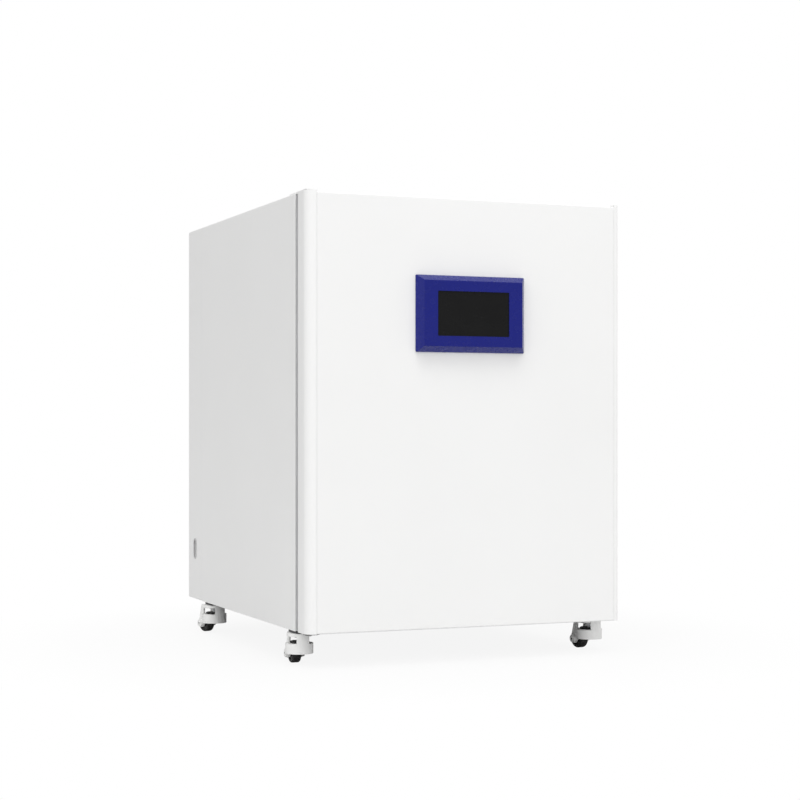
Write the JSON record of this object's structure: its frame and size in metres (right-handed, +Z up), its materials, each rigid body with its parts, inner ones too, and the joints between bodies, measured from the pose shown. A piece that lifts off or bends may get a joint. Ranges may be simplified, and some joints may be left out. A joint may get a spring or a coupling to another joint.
{
  "type": "laboratory incubator",
  "caption": "White carbon dioxide incubator on levelling casters: hinged insulated door with raised control screen, inner glass door, shelves, water pan and fan.",
  "frame": {"origin": "on the floor, under the middle of the object's bounding box", "axes": "+Z up, the door faces -Y, +X to the right seen from the front"},
  "size_m": [0.6994, 0.869, 0.9213],
  "materials": {
    "white_paint": "satin powder coat",
    "dark_steel": "satin",
    "zinc": "zinc plated",
    "stainless": "brushed",
    "light_casting": "satin",
    "black_nylon": "matt",
    "blue_plastic": "satin",
    "black_glass": "polished, dark",
    "clear_glass": "polished",
    "silicone": "matt",
    "grey_rubber": "matt",
    "foam": "matt foam",
    "filter_paper": "matt",
    "white_plastic": "satin",
    "circuit_green": "satin",
    "brass": "machined"
  },
  "bodies": {
    "cabinet": {"outer_shell": "white_paint", "rear_cover": "white_paint", "base_pan": "dark_steel", "front_frame": "stainless", "inner_chamber": "stainless", "insulation_jacket": "foam", "rear_bulkhead": "zinc", "hinge_plate_bottom": "dark_steel", "hinge_plate_top": "white_paint", "chamber_gasket": "silicone", "glass_hinge_posts": "stainless", "latch_keeper": "stainless", "shelf_rack_left": "stainless", "shelf_rack_right": "stainless", "duct_cover": "stainless", "hepa_filter": "filter_paper", "fan_motor": "zinc", "port_sleeve": "white_plastic", "port_plug": "silicone", "gas_inlet": "brass", "mains_inlet": "black_nylon", "switch_trim": "white_plastic", "control_board": "circuit_green", "power_supply": "zinc"},
    "door": {"door_front_panel": "white_paint", "door_edge_left": "white_paint", "door_edge_right": "white_paint", "door_foam": "foam", "door_liner": "white_plastic", "door_gasket": "grey_rubber", "hinge_bush_bottom": "black_nylon", "hinge_bush_top": "black_nylon", "screen_bezel": "blue_plastic", "screen_glass": "black_glass", "screen_module": "dark_steel"},
    "glass_door": {"glass_pane": "clear_glass", "glass_hinge_leaves": "stainless"},
    "latch": {"glass_latch": "black_nylon"},
    "shelf_low": {"shelf_1": "stainless"},
    "shelf_middle": {"shelf_2": "stainless"},
    "shelf_high": {"shelf_3": "stainless"},
    "pan": {"water_pan": "stainless"},
    "fan": {"fan_impeller": "white_plastic"},
    "rocker": {"power_rocker": "black_nylon"},
    "caster_front_left": {"caster_housing_front_left": "light_casting"},
    "wheel_front_left": {"caster_wheel_front_left": "black_nylon"},
    "nut_front_left": {"adjuster_nut_front_left": "black_nylon"},
    "foot_front_left": {"levelling_foot_front_left": "zinc"},
    "caster_front_right": {"caster_housing_front_right": "light_casting"},
    "wheel_front_right": {"caster_wheel_front_right": "black_nylon"},
    "nut_front_right": {"adjuster_nut_front_right": "black_nylon"},
    "foot_front_right": {"levelling_foot_front_right": "zinc"},
    "caster_rear_left": {"caster_housing_rear_left": "light_casting"},
    "wheel_rear_left": {"caster_wheel_rear_left": "black_nylon"},
    "nut_rear_left": {"adjuster_nut_rear_left": "black_nylon"},
    "foot_rear_left": {"levelling_foot_rear_left": "zinc"},
    "caster_rear_right": {"caster_housing_rear_right": "light_casting"},
    "wheel_rear_right": {"caster_wheel_rear_right": "black_nylon"},
    "nut_rear_right": {"adjuster_nut_rear_right": "black_nylon"},
    "foot_rear_right": {"levelling_foot_rear_right": "zinc"}
  },
  "joints": [
    {"name": "door_swing", "type": "hinge", "parent": "cabinet", "child": "door", "pos_m": [-0.327, -0.38905, 0.068], "axis": [0, 0, -1], "range_deg": [0, 110]},
    {"name": "glass_door_swing", "type": "hinge", "parent": "cabinet", "child": "glass_door", "pos_m": [-0.2845, -0.33425, 0.498], "axis": [0, 0, -1], "range_deg": [0, 94]},
    {"name": "glass_latch_turn", "type": "hinge", "parent": "glass_door", "child": "latch", "pos_m": [0.261, -0.32655, 0.498], "axis": [0, 1, 0], "range_deg": [0, 90]},
    {"name": "shelf_low_slide", "type": "slide", "parent": "cabinet", "child": "shelf_low", "axis": [0, -1, 0], "range_m": [0, 0.1345]},
    {"name": "shelf_middle_slide", "type": "slide", "parent": "cabinet", "child": "shelf_middle", "axis": [0, -1, 0], "range_m": [0, 0.1345]},
    {"name": "shelf_high_slide", "type": "slide", "parent": "cabinet", "child": "shelf_high", "axis": [0, -1, 0], "range_m": [0, 0.1345]},
    {"name": "water_pan_slide", "type": "slide", "parent": "cabinet", "child": "pan", "axis": [0, -1, 0], "range_m": [0, 0.1345]},
    {"name": "fan_spin", "type": "hinge", "parent": "cabinet", "child": "fan", "pos_m": [0, 0.20975, 0.698], "axis": [0, 1, 0], "continuous": true},
    {"name": "power_rocker_tilt", "type": "hinge", "parent": "cabinet", "child": "rocker", "pos_m": [-0.3275, 0.35845, 0.184], "axis": [0, 1, 0], "range_deg": [0, 12]},
    {"name": "swivel_front_left", "type": "hinge", "parent": "cabinet", "child": "caster_front_left", "pos_m": [-0.32, -0.32255, 0.0627], "axis": [0, 0, 1], "continuous": true},
    {"name": "roll_front_left", "type": "hinge", "parent": "caster_front_left", "child": "wheel_front_left", "pos_m": [-0.31888, -0.29057, 0.02], "axis": [0.9994, -0.0349, 0], "continuous": true},
    {"name": "adjust_front_left", "type": "hinge", "parent": "caster_front_left", "child": "nut_front_left", "pos_m": [-0.32, -0.32255, 0.0428], "axis": [0, 0, 1], "range_deg": [0, 1621]},
    {"name": "level_front_left", "type": "slide", "parent": "caster_front_left", "child": "foot_front_left", "axis": [0, 0, -1], "range_m": [0, 0.0225]},
    {"name": "swivel_front_right", "type": "hinge", "parent": "cabinet", "child": "caster_front_right", "pos_m": [0.32, -0.32255, 0.0627], "axis": [0, 0, 1], "continuous": true},
    {"name": "roll_front_right", "type": "hinge", "parent": "caster_front_right", "child": "wheel_front_right", "pos_m": [0.31499, -0.29094, 0.02], "axis": [0.9877, 0.1564, 0], "continuous": true},
    {"name": "adjust_front_right", "type": "hinge", "parent": "caster_front_right", "child": "nut_front_right", "pos_m": [0.32, -0.32255, 0.0428], "axis": [0, 0, 1], "range_deg": [0, 1621]},
    {"name": "level_front_right", "type": "slide", "parent": "caster_front_right", "child": "foot_front_right", "axis": [0, 0, -1], "range_m": [0, 0.0225]},
    {"name": "swivel_rear_left", "type": "hinge", "parent": "cabinet", "child": "caster_rear_left", "pos_m": [-0.32, 0.26345, 0.0627], "axis": [0, 0, 1], "continuous": true},
    {"name": "roll_rear_left", "type": "hinge", "parent": "caster_rear_left", "child": "wheel_rear_left", "pos_m": [-0.3286, 0.29427, 0.02], "axis": [0.9632, 0.2689, 0], "continuous": true},
    {"name": "adjust_rear_left", "type": "hinge", "parent": "caster_rear_left", "child": "nut_rear_left", "pos_m": [-0.32, 0.26345, 0.0428], "axis": [0, 0, 1], "range_deg": [0, 1621]},
    {"name": "level_rear_left", "type": "slide", "parent": "caster_rear_left", "child": "foot_rear_left", "axis": [0, 0, -1], "range_m": [0, 0.0225]},
    {"name": "swivel_rear_right", "type": "hinge", "parent": "cabinet", "child": "caster_rear_right", "pos_m": [0.32, 0.26345, 0.0627], "axis": [0, 0, 1], "continuous": true},
    {"name": "roll_rear_right", "type": "hinge", "parent": "caster_rear_right", "child": "wheel_rear_right", "pos_m": [0.3286, 0.29427, 0.02], "axis": [0.9632, -0.2689, 0], "continuous": true},
    {"name": "adjust_rear_right", "type": "hinge", "parent": "caster_rear_right", "child": "nut_rear_right", "pos_m": [0.32, 0.26345, 0.0428], "axis": [0, 0, 1], "range_deg": [0, 1621]},
    {"name": "level_rear_right", "type": "slide", "parent": "caster_rear_right", "child": "foot_rear_right", "axis": [0, 0, -1], "range_m": [0, 0.0225]}
  ],
  "couplings": [
    {"joint": "glass_door_swing", "follows": "door_swing", "ratio": 0.85},
    {"joint": "shelf_low_slide", "follows": "door_swing", "m_per_rad": 0.07},
    {"joint": "shelf_middle_slide", "follows": "door_swing", "m_per_rad": 0.07},
    {"joint": "shelf_high_slide", "follows": "door_swing", "m_per_rad": 0.07},
    {"joint": "water_pan_slide", "follows": "door_swing", "m_per_rad": 0.07},
    {"joint": "adjust_front_left", "follows": "level_front_left", "rad_per_m": 1256.6},
    {"joint": "adjust_front_right", "follows": "level_front_right", "rad_per_m": 1256.6},
    {"joint": "adjust_rear_left", "follows": "level_rear_left", "rad_per_m": 1256.6},
    {"joint": "adjust_rear_right", "follows": "level_rear_right", "rad_per_m": 1256.6}
  ]
}
